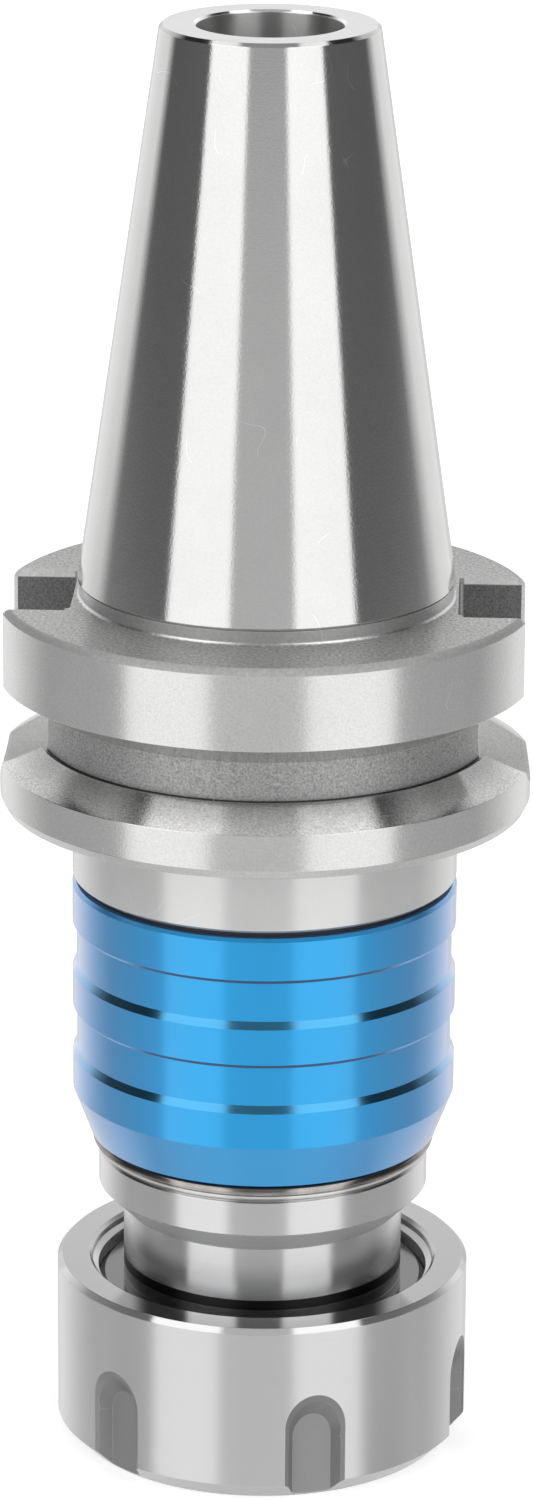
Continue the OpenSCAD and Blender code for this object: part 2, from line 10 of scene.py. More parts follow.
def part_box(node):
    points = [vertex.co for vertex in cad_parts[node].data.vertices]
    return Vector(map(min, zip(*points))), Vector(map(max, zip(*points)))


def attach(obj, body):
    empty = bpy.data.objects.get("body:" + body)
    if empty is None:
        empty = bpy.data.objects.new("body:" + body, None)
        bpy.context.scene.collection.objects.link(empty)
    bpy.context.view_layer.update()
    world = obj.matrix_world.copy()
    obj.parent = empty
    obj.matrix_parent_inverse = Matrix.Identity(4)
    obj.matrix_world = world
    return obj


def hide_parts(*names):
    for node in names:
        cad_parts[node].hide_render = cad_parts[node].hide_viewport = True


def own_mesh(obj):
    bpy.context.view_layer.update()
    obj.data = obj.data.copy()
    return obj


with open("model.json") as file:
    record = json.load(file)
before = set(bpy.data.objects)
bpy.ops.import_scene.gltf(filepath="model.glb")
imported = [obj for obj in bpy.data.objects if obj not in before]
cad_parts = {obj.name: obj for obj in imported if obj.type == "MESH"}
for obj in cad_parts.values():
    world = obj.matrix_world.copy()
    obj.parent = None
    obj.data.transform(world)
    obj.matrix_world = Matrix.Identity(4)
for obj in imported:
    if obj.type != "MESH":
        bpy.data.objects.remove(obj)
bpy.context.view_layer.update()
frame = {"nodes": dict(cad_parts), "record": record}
nodes = frame["nodes"]

MM = 0.001

# Heights on the holder from the gauge plane, from the top down
Z_PILOT_FOOT = 30 * MM
Z_FLANGE_TOP = -2 * MM
Z_RIM = -2.8 * MM
Z_GROOVE_TOP = -11.75 * MM
Z_SLOT_ROUND = -14 * MM
Z_SLOT_CENTRE = -16.35 * MM
Z_GROOVE_FOOT = -19.6 * MM
Z_FLANK_FOOT = Z_GROOVE_FOOT - 2.1 * MM
Z_NOSE = -27 * MM
Z_SLEEVE_TOP = -37.2 * MM
Z_NECK = -78.5 * MM
Z_UNDERCUT = -85.1 * MM
Z_UNDERCUT_FOOT = Z_UNDERCUT - 1.3 * MM
Z_SHOULDER = -87.9 * MM
Z_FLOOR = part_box("collet_nut")[0].z

# Distances from the holder's axis
R_PILOT = 8.5 * MM
R_NUT_BORE = 21.8 * MM
R_FILLET = 22.6 * MM
R_GROOVE = 26.5 * MM
R_RIM = 30.7 * MM

# The drive slots, which face +x and -x: their floor's distance from the axis, half their width, their foot
SLOT_FLOOR = 22.6 * MM
SLOT_HALF = 8.05 * MM
Z_SLOT_FOOT = Z_SLOT_CENTRE - SLOT_HALF

# The strongest light that the studio's ramps can hold
PEAK_LIGHT = 2.0

# The photograph's frame, in pixels, and the camera's sensor in millimetres
PHOTO_WIDTH = 533
PHOTO_HEIGHT = 1500
SENSOR = 36


class Graph:
    """Adds nodes to one material or world, each with its inputs linked or set."""

    def __init__(self, tree):
        self.tree = tree
        tree.nodes.clear()

    def add(self, kind, inputs=None, **settings):
        node = self.tree.nodes.new(kind)
        for name, value in settings.items():
            setattr(node, name, value)
        for name, value in (inputs or {}).items():
            self.put(node.inputs[name], value)
        return node

    def put(self, socket, value):
        if isinstance(value, bpy.types.NodeSocket):
            self.tree.links.new(value, socket)
        else:
            socket.default_value = value

    def math(self, operation, first, *others):
        """The operation on the first value and on each other one in turn."""
        result = first
        for other in others or (0.0,):
            result = self.add("ShaderNodeMath", {0: result, 1: other}, operation=operation).outputs[0]
        return result

    def times(self, *values):
        return self.math("MULTIPLY", *values)

    def plus(self, *values):
        return self.math("ADD", *values)

    def largest(self, *values):
        return self.math("MAXIMUM", *values)

    def absolute(self, value):
        return self.math("ABSOLUTE", value)

    def distance(self, a, b):
        return self.math("SQRT", self.plus(self.times(a, a), self.times(b, b)))

    def step(self, value, low, high):
        """0 below low, 1 above high and smooth between them; low may be the larger."""
        node = self.add("ShaderNodeMapRange", {"Value": value, "From Min": low, "From Max": high},
                        interpolation_type="SMOOTHSTEP")
        return node.outputs[0]

    def between(self, value, low, high, soft):
        return self.times(self.step(value, low - soft, low + soft),
                          self.step(value, high + soft, high - soft))

    def mix(self, factor, a, b):
        return self.add("ShaderNodeMix", {0: factor, 2: a, 3: b}, data_type="FLOAT").outputs[0]

    def layered(self, value, *layers):
        """The value with layers laid over it in turn, each a mask and the layer's own value."""
        for mask, over in layers:
            value = self.mix(mask, value, over)
        return value

    def mix_colour(self, factor, a, b, blend="MIX"):
        node = self.add("ShaderNodeMix", {0: factor, 6: a, 7: b}, data_type="RGBA", blend_type=blend)
        return node.outputs[2]

    def tinted(self, a, b):
        return self.mix_colour(1.0, a, b, "MULTIPLY")

    def ramp(self, value, stops):
        """A grey value for each position in stops, as [(position, value), ...]."""
        node = self.add("ShaderNodeValToRGB", {0: value})
        elements = node.color_ramp.elements
        while len(elements) < len(stops):
            elements.new(0.5)
        for element, (position, level) in zip(elements, stops):
            element.position = position
            element.color = (level, level, level, 1)
        return node.outputs[0]

    def noise(self, vector, scale, detail=2.0, roughness=0.5):
        node = self.add("ShaderNodeTexNoise", {"Vector": vector, "Scale": scale, "Detail": detail,
                                               "Roughness": roughness})
        return node.outputs[0]

    def grey(self, value):
        return self.add("ShaderNodeCombineColor", {0: value, 1: value, 2: value}).outputs[0]


class Surface(Graph):
    """A material's graph with its place on the part ready: height, distance from the axis and angle."""

    def __init__(self, name):
        self.material = bpy.data.materials.new(name)
        self.material.use_nodes = True
        super().__init__(self.material.node_tree)
        self.place = self.add("ShaderNodeTexCoord").outputs["Object"]
        self.x, self.y, self.z = self.add("ShaderNodeSeparateXYZ", {0: self.place}).outputs
        self.r = self.distance(self.x, self.y)
        self.angle = self.math("ARCTAN2", self.y, self.x)
        self.normal = self.add("ShaderNodeNewGeometry").outputs["Normal"]
        self.normal_x, self.normal_y, self.up = self.add("ShaderNodeSeparateXYZ", {0: self.normal}).outputs

    def grain(self, size, detail=2.0, roughness=0.55):
        return self.noise(self.place, 1 / size, detail, roughness)

    def round_axis(self, pitch, wander):
        """Coordinates for a pattern that runs round the axis and changes with each pitch along and out."""
        node = self.add("ShaderNodeCombineXYZ", {0: self.times(self.angle, wander),
                                                 1: self.math("DIVIDE", self.z, pitch),
                                                 2: self.math("DIVIDE", self.r, pitch)})
        return node.outputs[0]

    def turned_lines(self, pitch):
        """Fine tool marks that run round the axis, as a height from 0 to 1."""
        return self.noise(self.round_axis(pitch, wander=0.35), scale=1.0, detail=3.0, roughness=0.6)

    def fine_height(self, lines, pits):
        return self.plus(self.times(lines, 0.5), self.times(pits, 0.3))

    def swing(self, pattern, amount):
        """A pattern from 0 to 1 as a change of up to half the amount either way."""
        return self.times(self.math("SUBTRACT", pattern, 0.5), amount)

    def mottled(self, level, *patterns):
        """The level varied by patterns, each with the amount that it varies by."""
        change = 1.0
        for pattern, amount in patterns:
            change = self.plus(self.swing(pattern, amount), change)
        return self.times(level, change)

    def scratches(self, size, width):
        """A few short curved hair lines, 1 on a line and 0 elsewhere."""
        off_line = self.absolute(self.math("SUBTRACT", self.grain(size, 1.0, 0.4), 0.5))
        on_line = self.step(off_line, width, width * 0.3)
        stretched = self.add("ShaderNodeMapping", {"Vector": self.place, "Scale": (1.7, 1.3, 1.9)}).outputs[0]
        patch = self.step(self.noise(stretched, 0.7 / size, 0.0), 0.66, 0.7)
        return self.times(on_line, patch)

    def sharp_edge(self, radius):
        """1 along a sharp edge and 0 on the faces, from how far a rounded normal leaves the true one."""
        rounded = self.add("ShaderNodeBevel", {"Radius": radius}, samples=4).outputs[0]
        together = self.add("ShaderNodeVectorMath", {0: rounded, 1: self.normal}, operation="DOT_PRODUCT")
        return self.step(together.outputs["Value"], 0.995, 0.94)

    def wear_and_edge_highlight(self, level, edge_wear_and_highlight, edge_level):
        """The level with a few faint scratches, and its edges brightened as wear and as a painted edge
        highlight.
        """
        return self.layered(level, (self.times(self.scratches(6 * MM, 0.0025), 0.3), 0.8),
                            (self.times(self.sharp_edge(0.15 * MM), edge_wear_and_highlight), edge_level))

    def raised(self, normal, amount):
        """A normal turned upwards by a part of it."""
        lift = self.add("ShaderNodeCombineXYZ", {2: amount}).outputs[0]
        together = self.add("ShaderNodeVectorMath", {0: normal, 1: lift}, operation="ADD").outputs[0]
        return self.add("ShaderNodeVectorMath", {0: together}, operation="NORMALIZE").outputs[0]

    def soft_normal(self, edge, height, depth, lift=None):
        """The normal with its edges rounded by a radius and its height map on top."""
        normal = self.add("ShaderNodeBevel", {"Radius": edge}, samples=4).outputs[0]
        if lift is not None:
            normal = self.raised(normal, lift)
        bump = self.add("ShaderNodeBump", {"Height": height, "Distance": depth, "Strength": 1.0,
                                           "Normal": normal})
        return bump.outputs[0]

    def principled(self, colour, roughness, normal, metallic=1.0, anisotropic=0.0, coat=0.0):
        inputs = {"Base Color": colour, "Roughness": roughness, "Metallic": metallic, "Normal": normal}
        if coat:
            inputs["Coat Weight"] = coat
            inputs["Coat Roughness"] = 0.15
        if anisotropic:
            inputs["Anisotropic"] = anisotropic
            inputs["Anisotropic Rotation"] = 0.25
            inputs["Tangent"] = self.add("ShaderNodeTangent", direction_type="RADIAL", axis="Z").outputs[0]
        return self.add("ShaderNodeBsdfPrincipled", inputs).outputs[0]

    def output(self, shader):
        self.add("ShaderNodeOutputMaterial", {0: shader})
        return self.material

    def finish(self, colour, roughness, height, depth, metallic=1.0, anisotropic=0.0, lift=None):
        normal = self.soft_normal(0.12 * MM, height, depth, lift)
        return self.output(self.principled(colour, roughness, normal, metallic, anisotropic))


def slot_mask(m):
    """1 on the walls, floor and round end of both drive slots."""
    below = m.largest(m.math("SUBTRACT", Z_SLOT_CENTRE, m.z), 0.0)
    return m.times(
        m.step(m.distance(m.y, below), SLOT_HALF + 0.12 * MM, SLOT_HALF + 0.02 * MM),
        m.step(m.absolute(m.x), SLOT_FLOOR - 0.1 * MM, SLOT_FLOOR - 0.02 * MM),
        m.step(m.z, Z_FLANGE_TOP - 0.02 * MM, Z_FLANGE_TOP - 0.06 * MM),
        m.step(m.z, Z_SLOT_FOOT - 0.1 * MM, Z_SLOT_FOOT),
    )


def add_groove_zones(m, zone):
    """The gripper groove: its root, its two flanks and the relief at the foot of its root."""
    steep = m.absolute(m.up)
    on_flank = m.times(m.step(steep, 0.6, 0.8), m.step(steep, 0.95, 0.9))
    zone.groove = m.times(m.between(m.z, Z_GROOVE_FOOT, Z_GROOVE_TOP, 0.05 * MM),
                          m.step(m.r, R_GROOVE + 0.1 * MM, R_GROOVE + 0.05 * MM))
    zone.flank = m.times(m.between(m.z, Z_FLANK_FOOT, Z_GROOVE_TOP, 0.05 * MM), on_flank)
    zone.lower_flank = m.times(zone.flank, m.step(m.up, 0.6, 0.8))
    zone.relief = m.times(m.between(m.z, Z_GROOVE_FOOT, Z_GROOVE_FOOT + 0.45 * MM, 0.02 * MM),
                          m.step(m.r, R_GROOVE + 0.6 * MM, R_GROOVE + 0.55 * MM))


def add_slot_zones(m, zone, sloping):
    """The drive slots: their walls, floor, round ends and chamfers, and the flange near them."""
    beside_slot = m.times(m.step(m.absolute(m.x), SLOT_FLOOR - 0.1 * MM, SLOT_FLOOR),
                          m.step(m.absolute(m.y), SLOT_HALF + 0.9 * MM, SLOT_HALF + 0.85 * MM))
    zone.near_slots = m.step(m.absolute(m.x), SLOT_FLOOR - 3.8 * MM, SLOT_FLOOR - 1.6 * MM)
    zone.slots = slot_mask(m)
    zone.slot_end = m.times(zone.slots, m.step(m.z, Z_SLOT_ROUND, Z_SLOT_ROUND - 1 * MM))
    zone.slot_floor = m.times(zone.slots,
                              m.step(m.absolute(m.x), SLOT_FLOOR + 0.4 * MM, SLOT_FLOOR + 0.2 * MM))
    slot_rim = m.times(zone.slots, m.step(m.r, R_RIM + 0.35 * MM, R_RIM + 0.4 * MM))
    slot_brow = m.times(sloping, zone.top, beside_slot)
    zone.slot_chamfer = m.largest(slot_rim, slot_brow)


def shank_zones(m):
    """Masks of the shank's surfaces, each 1 on its own surface and 0 elsewhere."""
    zone = SimpleNamespace()
    sloping = m.times(m.step(m.up, 0.1, 0.3), m.step(m.up, 0.95, 0.9))
    zone.taper = m.step(m.z, -0.05 * MM, 0.05 * MM)
    zone.bore = m.times(m.step(m.z, Z_PILOT_FOOT, Z_PILOT_FOOT + 5 * MM),
                        m.step(m.r, R_PILOT + 0.15 * MM, R_PILOT + 0.05 * MM))
    zone.mouth = m.times(m.step(m.r, R_PILOT + 0.8 * MM, R_PILOT + 0.7 * MM), sloping)
    zone.top = m.between(m.z, Z_RIM, -0.02 * MM, 0.03 * MM)
    zone.rim = m.times(zone.top, m.step(m.r, R_RIM, R_RIM + 0.1 * MM))
    zone.fillet = m.times(sloping, zone.top, m.step(m.r, R_FILLET + 0.1 * MM, R_FILLET))
    zone.neck_wall = m.times(zone.top, m.step(m.r, R_FILLET - 0.4 * MM, R_FILLET - 0.5 * MM))
    zone.nose = m.step(m.z, Z_NOSE + 0.02 * MM, Z_NOSE - 0.02 * MM)
    add_groove_zones(m, zone)
    add_slot_zones(m, zone, sloping)
    zone.matt = m.largest(zone.top, zone.groove, zone.slots)
    return zone


def shank_level(m, zone):
    """How much light each clean surface of the shank gives back, with painted shade and painted highlights on
    some of them.
    """
    level = m.layered(m.mix(zone.taper, 0.60, 0.585), (zone.flank, 0.66))
    # Painted shade: the lower flank is darker towards the groove's root and a little lighter towards its
    # outer edge
    painted_root_shade = m.mix(m.step(m.r, R_GROOVE + 0.6 * MM, R_GROOVE + 5 * MM), 0.6, 1.05)
    return m.layered(
        level,
        (zone.lower_flank, m.times(level, painted_root_shade)),
        (zone.bore, 0.6),
        (zone.mouth, 0.95),
        # Painted light: the flange top is lighter near the drive slots
        (zone.top, m.mix(zone.near_slots, 0.49, 0.66)),
        (zone.rim, 0.62),
        # Painted highlight: the fillet round the foot of the neck is lighter, a bright line round it
        (zone.fillet, 0.7),
        (zone.groove, 0.42),
        (zone.nose, 0.68),
        # Painted shade: the relief at the foot of the groove's root is near black
        (zone.relief, 0.1),
        (zone.slots, m.mix(m.step(m.z, Z_SLOT_ROUND + 1 * MM, Z_SLOT_ROUND), 0.23, 0.85)),
        # Painted light: the slots' floors are lighter than their walls
        (zone.slot_floor, 0.5),
        # Painted highlight: the chamfers round the slots are near white
        (zone.slot_chamfer, 0.9),
    )


def shank_steel():
    """Hardened steel: ground taper and rings, matt flange top, gripper groove and drive slots."""
    m = Surface("shank_steel")
    zone = shank_zones(m)
    grit = m.mix(zone.top, m.grain(0.25 * MM, roughness=0.6), m.grain(0.4 * MM, roughness=0.6))
    cloud = m.grain(6 * MM)
    smooth_edges = m.largest(zone.rim, zone.neck_wall, zone.slot_chamfer, zone.slot_end)
    graininess = m.layered(m.mix(zone.taper, 0.35, 0.16), (zone.nose, 0.08), (zone.matt, 1.7),
                           (zone.flank, 1.3), (smooth_edges, 0.5))
    level = m.mottled(shank_level(m, zone), (grit, graininess), (cloud, 0.08))
    # Edges brightened as wear and as a painted highlight line, strongest on the slots and the nose
    edge_wear_and_highlight = m.plus(m.times(m.largest(zone.slots, zone.nose), 0.5), 0.3)
    level = m.layered(level, (m.times(m.scratches(7 * MM, 0.003), 0.7), 0.9),
                      (m.times(m.sharp_edge(0.22 * MM), edge_wear_and_highlight), 0.9))
    colour = m.tinted(m.grey(level), (1.0, 0.997, 0.992, 1))
    roughness = m.layered(m.mix(zone.taper, 0.20, 0.10), (zone.flank, 0.11), (zone.bore, 0.36),
                          (zone.matt, 0.58), (zone.rim, 0.8), (zone.fillet, 0.3))
    roughness = m.plus(roughness, m.swing(grit, 0.08))
    ground = m.plus(m.times(m.turned_lines(0.09 * MM), 0.3), m.times(grit, m.mix(zone.taper, 1.2, 0.9)))
    height = m.mix(zone.matt, ground, m.times(grit, 5.0))
    metallic = m.layered(1.0, (zone.nose, 0.5), (zone.groove, 0.7))
    return m.finish(colour, roughness, height, 0.006 * MM, metallic, anisotropic=m.mix(zone.bore, 0.5, 0.9))


def spindle_steel():
    """The spindle: satin collar and neck, the neck painted lighter near its foot; painted shade on the
    undercut band, below it and on the polished shoulder inside the nut.
    """
    m = Surface("spindle_steel")
    neck = m.step(m.z, Z_NECK + 0.1 * MM, Z_NECK - 0.1 * MM)
    painted_light_low_neck = m.step(m.z, Z_UNDERCUT + 3.0 * MM, Z_UNDERCUT + 0.5 * MM)
    cone = m.step(m.up, -0.4, -0.6)
    undercut = m.between(m.z, Z_UNDERCUT_FOOT, Z_UNDERCUT, 0.05 * MM)
    foot = m.step(m.z, Z_UNDERCUT_FOOT + 0.05 * MM, Z_UNDERCUT_FOOT - 0.05 * MM)
    shoulder = m.times(m.step(m.z, Z_SHOULDER + 0.1 * MM, Z_SHOULDER + 0.02 * MM), m.step(m.up, 0.5, 0.7))
    grit = m.grain(0.2 * MM, 3.0)
    cloud = m.grain(5 * MM)
    lines = m.turned_lines(0.08 * MM)
    # Painted light: the neck is lighter towards its foot, near the nut
    level = m.mix(neck, 0.56, m.mix(painted_light_low_neck, 0.52, 0.68))
    # Painted shade: below the undercut, and most of all on the shoulder inside the nut, the steel is darker
    level = m.layered(level, (foot, 0.3), (shoulder, 0.22), (cone, 0.72))
    level = m.wear_and_edge_highlight(m.mottled(level, (lines, 0.10), (cloud, 0.07)), edge_wear_and_highlight=0.3, edge_level=0.75)
    # Painted shade: the undercut band round the neck's foot is near black
    level = m.mix(undercut, level, 0.03)
    roughness = m.layered(m.mix(neck, 0.2, 0.22), (m.largest(cone, undercut), 0.4), (shoulder, 0.14))
    roughness = m.plus(m.swing(grit, 0.05), roughness)
    height = m.times(m.fine_height(lines, grit), m.mix(neck, 1.0, 0.1))
    return m.finish(m.grey(level), roughness, height, 0.003 * MM, metallic=m.mix(cone, 1.0, 0.5),
                    anisotropic=m.mix(shoulder, m.mix(neck, 0.5, 0.95), 0.0))


def plain_steel():
    """Satin turned steel of the small parts inside, with fine lines round the axis."""
    m = Surface("plain_steel")
    pits = m.grain(0.2 * MM, 3.0)
    cloud = m.grain(5 * MM)
    lines = m.turned_lines(0.15 * MM)
    level = m.wear_and_edge_highlight(m.mottled(0.5, (lines, 0.10), (cloud, 0.07)), edge_wear_and_highlight=0.4, edge_level=0.8)
    colour = m.tinted(m.grey(level), (1.0, 0.995, 0.985, 1))
    roughness = m.plus(m.swing(pits, 0.08), 0.3)
    return m.finish(colour, roughness, m.fine_height(lines, pits), 0.004 * MM, anisotropic=0.5)


def wrench_slots(m, low, high):
    """Two masks of the nut's milled slots: the whole of them, and their walls and edges."""
    outward = m.math("DIVIDE", m.plus(m.times(m.normal_x, m.x), m.times(m.normal_y, m.y)), m.r)
    front_chamfer = m.times(m.step(m.up, -0.55, -0.65), m.step(m.up, -0.8, -0.72))
    inside_wall = m.times(
        m.step(m.r, high.x - 0.25 * MM, high.x - 0.45 * MM),
        m.step(m.r, R_NUT_BORE, R_NUT_BORE + 0.3 * MM),
        m.step(m.z, high.z - 1.2 * MM, high.z - 1.6 * MM),
        m.step(m.z, low.z + 0.05 * MM, low.z + 0.15 * MM),
    )
    slot_edge = m.times(m.step(outward, 0.975, 0.95), m.step(outward, 0.2, 0.3),
                        m.step(m.absolute(m.up), 0.62, 0.58))
    milled = m.times(m.largest(inside_wall, slot_edge), m.math("SUBTRACT", 1.0, front_chamfer))
    return milled, slot_edge


def nut_steel():
    """Finely ground nut whose wrench slots are milled and left matt."""
    m = Surface("nut_steel")
    low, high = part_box("collet_nut")
    milled, slot_edge = wrench_slots(m, low, high)
    rear = m.step(m.up, 0.8, 0.95)
    rear_chamfer = m.times(m.between(m.up, 0.6, 0.8, 0.02), m.step(m.r, high.x - 1 * MM, high.x - 0.9 * MM))
    polished = m.largest(rear, rear_chamfer)
    pits = m.grain(0.2 * MM, 3.0)
    lines = m.turned_lines(0.08 * MM)
    level = m.layered(m.mix(milled, 0.57, 0.32), (slot_edge, 0.27))
    level = m.wear_and_edge_highlight(m.mottled(level, (lines, 0.08), (pits, 0.06)), edge_wear_and_highlight=0.4, edge_level=0.75)
    level = m.layered(level, (rear_chamfer, 0.62), (rear, 0.5))
    roughness = m.plus(m.swing(pits, 0.05), m.layered(0.2, (polished, 0.1), (milled, 0.45)))
    metallic = m.layered(0.75, (milled, 0.2), (polished, 1.0))
    return m.finish(m.grey(level), roughness, m.fine_height(lines, pits), 0.004 * MM, metallic,
                    anisotropic=0.5, lift=m.times(rear_chamfer, -0.55))


def blue_anodised():
    """Blue dyed oxide: a broad sheen on the turned bands, and diamond-cut bevels that mirror the room. Its
    colour also holds a painted paler sheen towards the sides, and painted shade and glints on the grooves'
    undersides.
    """
    m = Surface("blue_anodised")
    cut_dye = (0.042, 0.325, 0.60, 1)
    turned_dye = (0.01, 0.33, 0.62, 1)
    deep_dye = (0.012, 0.44, 0.93, 1)
    painted_sheen_colour = (0.5, 0.53, 0.8, 1)
    glancing = m.add("ShaderNodeLayerWeight", {"Blend": 0.5}).outputs["Facing"]
    lines = m.turned_lines(0.06 * MM)
    cloud = m.grain(8 * MM)
    specks = m.grain(0.3 * MM)
    cut = m.times(m.step(m.up, 0.2, 0.35), m.step(m.z, Z_SLEEVE_TOP - 0.5 * MM, Z_SLEEVE_TOP - 1 * MM))
    underside = m.step(m.up, -0.5, -0.6)
    top_chamfer = m.step(m.z, Z_SLEEVE_TOP - 0.42 * MM, Z_SLEEVE_TOP - 0.38 * MM)
    # Painted shade on the undersides of the grooves, which turns to a painted glint at a glancing angle
    underside_shade_and_glint = m.mix(m.step(glancing, 0.7, 0.82), 0.2, 1.3)
    # The shade below holds the grain, the painted shade and glint of the undersides and a painted highlight
    # on the top chamfer
    shade = m.layered(m.mottled(1.0, (lines, 0.08), (cloud, 0.06)), (underside, underside_shade_and_glint), (top_chamfer, 1.1))
    # Painted sheen: the colour turns paler towards the sides
    pale = m.plus(m.times(m.step(glancing, 0.08, 0.4), 0.11), m.times(m.step(glancing, 0.3, 0.9), 0.5))
    mirror_colour = m.mix_colour(pale, m.mix_colour(cut, turned_dye, cut_dye), painted_sheen_colour)
    mirror_colour = m.tinted(mirror_colour, m.grey(shade))
    sheen_colour = m.tinted(m.mix_colour(pale, deep_dye, painted_sheen_colour), m.grey(shade))
    roughness = m.plus(m.swing(specks, 0.06), 0.17)
    normal = m.soft_normal(0.08 * MM, lines, 0.002 * MM)
    mirror = m.principled(mirror_colour, roughness, normal, anisotropic=0.5, coat=0.9)
    sheen = m.principled(sheen_colour, 0.6, normal, coat=0.9)
    both = m.add("ShaderNodeMixShader", {0: m.mix(cut, 0.45, 1.0), 1: sheen, 2: mirror})
    return m.output(both.outputs[0])


def tempered_wire():
    """Round drawn wire, tempered to a straw brown."""
    m = Surface("tempered_wire")
    streaks = m.noise(m.round_axis(pitch=0.12 * MM, wander=2.0), scale=1.0)
    stain = m.noise(m.place, scale=400.0, detail=3.0, roughness=0.6)
    colour = m.mix_colour(m.step(stain, 0.35, 0.65), (0.35, 0.325, 0.31, 1), (0.26, 0.24, 0.227, 1))
    colour = m.mix_colour(m.times(streaks, 0.25), colour, (0.42, 0.40, 0.38, 1))
    return m.finish(colour, 0.17, streaks, 0.002 * MM, lift=0.35)


def black_rubber():
    m = Surface("black_rubber")
    bloom = m.noise(m.place, scale=900.0, detail=3.0, roughness=0.6)
    colour = m.mix_colour(bloom, (0.012, 0.012, 0.013, 1), (0.03, 0.03, 0.032, 1))
    return m.finish(colour, 0.55, m.grain(0.15 * MM), 0.01 * MM, metallic=0.0)


def polished_steel():
    m = Surface("polished_steel")
    faint = m.noise(m.place, scale=600.0)
    colour = m.mix_colour(faint, (0.62, 0.62, 0.63, 1), (0.70, 0.70, 0.71, 1))
    return m.finish(colour, 0.07, faint, 0.0005 * MM)


def black_oxide():
    m = Surface("black_oxide")
    patch = m.noise(m.place, scale=500.0, detail=4.0, roughness=0.6)
    colour = m.mix_colour(patch, (0.03, 0.03, 0.032, 1), (0.075, 0.072, 0.07, 1))
    colour = m.mix_colour(m.times(m.sharp_edge(0.15 * MM), 0.5), colour, (0.3, 0.3, 0.3, 1))
    return m.finish(colour, 0.36, m.grain(0.2 * MM), 0.006 * MM)


def spring_steel():
    m = Surface("spring_steel")
    scale = m.noise(m.place, scale=450.0, detail=4.0, roughness=0.6)
    colour = m.mix_colour(scale, (0.15, 0.15, 0.16, 1), (0.30, 0.30, 0.31, 1))
    return m.finish(colour, 0.3, m.grain(0.15 * MM), 0.004 * MM)


def paint_nodes():
    """Gives each CAD node its material, and returns the materials by slot."""
    by_slot = {
        "ground_steel": shank_steel(),
        "satin_steel": spindle_steel(),
        "nut_steel": nut_steel(),
        "plain_steel": plain_steel(),
        "blue_anodised": blue_anodised(),
        "black_rubber": black_rubber(),
        "tempered_wire": tempered_wire(),
        "ball_steel": polished_steel(),
        "black_steel": black_oxide(),
        "spring_steel": spring_steel(),
    }
    for part in frame["record"]["subparts"]:
        mesh = nodes[part["node"]].data
        mesh.materials.clear()
        mesh.materials.append(by_slot[part["material_slot"]])
    return by_slot


def add_object(name, mesh, material):
    """Turns a bmesh into an object of the scene with one material."""
    data = bpy.data.meshes.new(name)
    mesh.to_mesh(data)
    mesh.free()
    data.materials.append(material)
    placed = bpy.data.objects.new(name, data)
    bpy.context.scene.collection.objects.link(placed)
    return placed


def coil_mesh(low, high):
    """A round wire wound between two heights, with one closed turn at each end."""
    wire_radius = 1.1 * MM
    turns = 8
    steps_per_turn = 36
    sides = 12
    coil_radius = high.x - wire_radius
    closed = 2 * wire_radius + 0.05 * MM
    opened = (high.z - low.z - 2 * wire_radius - 2 * closed) / (turns - 2)
    mesh = bmesh.new()
    rings = []
    for step in range(turns * steps_per_turn + 1):
        turned = step / steps_per_turn
        in_first = min(turned, 1)
        in_middle = min(max(turned - 1, 0), turns - 2)
        in_last = max(turned - turns + 1, 0)
        rise = in_first * closed + in_middle * opened + in_last * closed
        lift = Vector((0, 0, low.z + wire_radius + rise))
        turn = Matrix.Rotation(2 * math.pi * turned, 3, "Z")
        ring = []
        for side in range(sides):
            angle = 2 * math.pi * side / sides
            point = Vector((coil_radius + wire_radius * math.cos(angle), 0, wire_radius * math.sin(angle)))
            ring.append(mesh.verts.new(turn @ point + lift))
        rings.append(ring)
    for here, after in zip(rings, rings[1:]):
        for side in range(sides):
            other = (side + 1) % sides
            mesh.faces.new((here[side], after[side], after[other], here[other])).smooth = True
    mesh.faces.new(rings[0])
    mesh.faces.new(list(reversed(rings[-1])))
    bmesh.ops.recalc_face_normals(mesh, faces=mesh.faces)
    return mesh


def coil_spring(material):
    """The return spring as a round wire, made in place of the CAD part and carried with the holder."""
    low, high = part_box("return_spring")
    coil = add_object("return_spring_coil", coil_mesh(low, high), material)
    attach(coil, "holder")
    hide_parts("return_spring")
    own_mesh(coil)


def light_round(g, turn, lights, edges):
    """Light by degrees from the camera, at 0, to behind the object, at 180."""
    centre, box, flank, backdrop, back = lights
    inner, outer, dark_end, light_start = edges
    soft = 1.2
    near_box = flank * 1.2
    back_edge = 160
    back_soft = 2
    stops = [
        (0, centre), (inner - soft, centre), (inner + soft, box), (outer - soft, box),
        (outer + soft, near_box), (dark_end, flank), (light_start, backdrop),
        (back_edge - back_soft, backdrop), (back_edge + back_soft, back), (180, back),
    ]
    return g.ramp(turn, [(degrees / 180, light / PEAK_LIGHT) for degrees, light in stops])


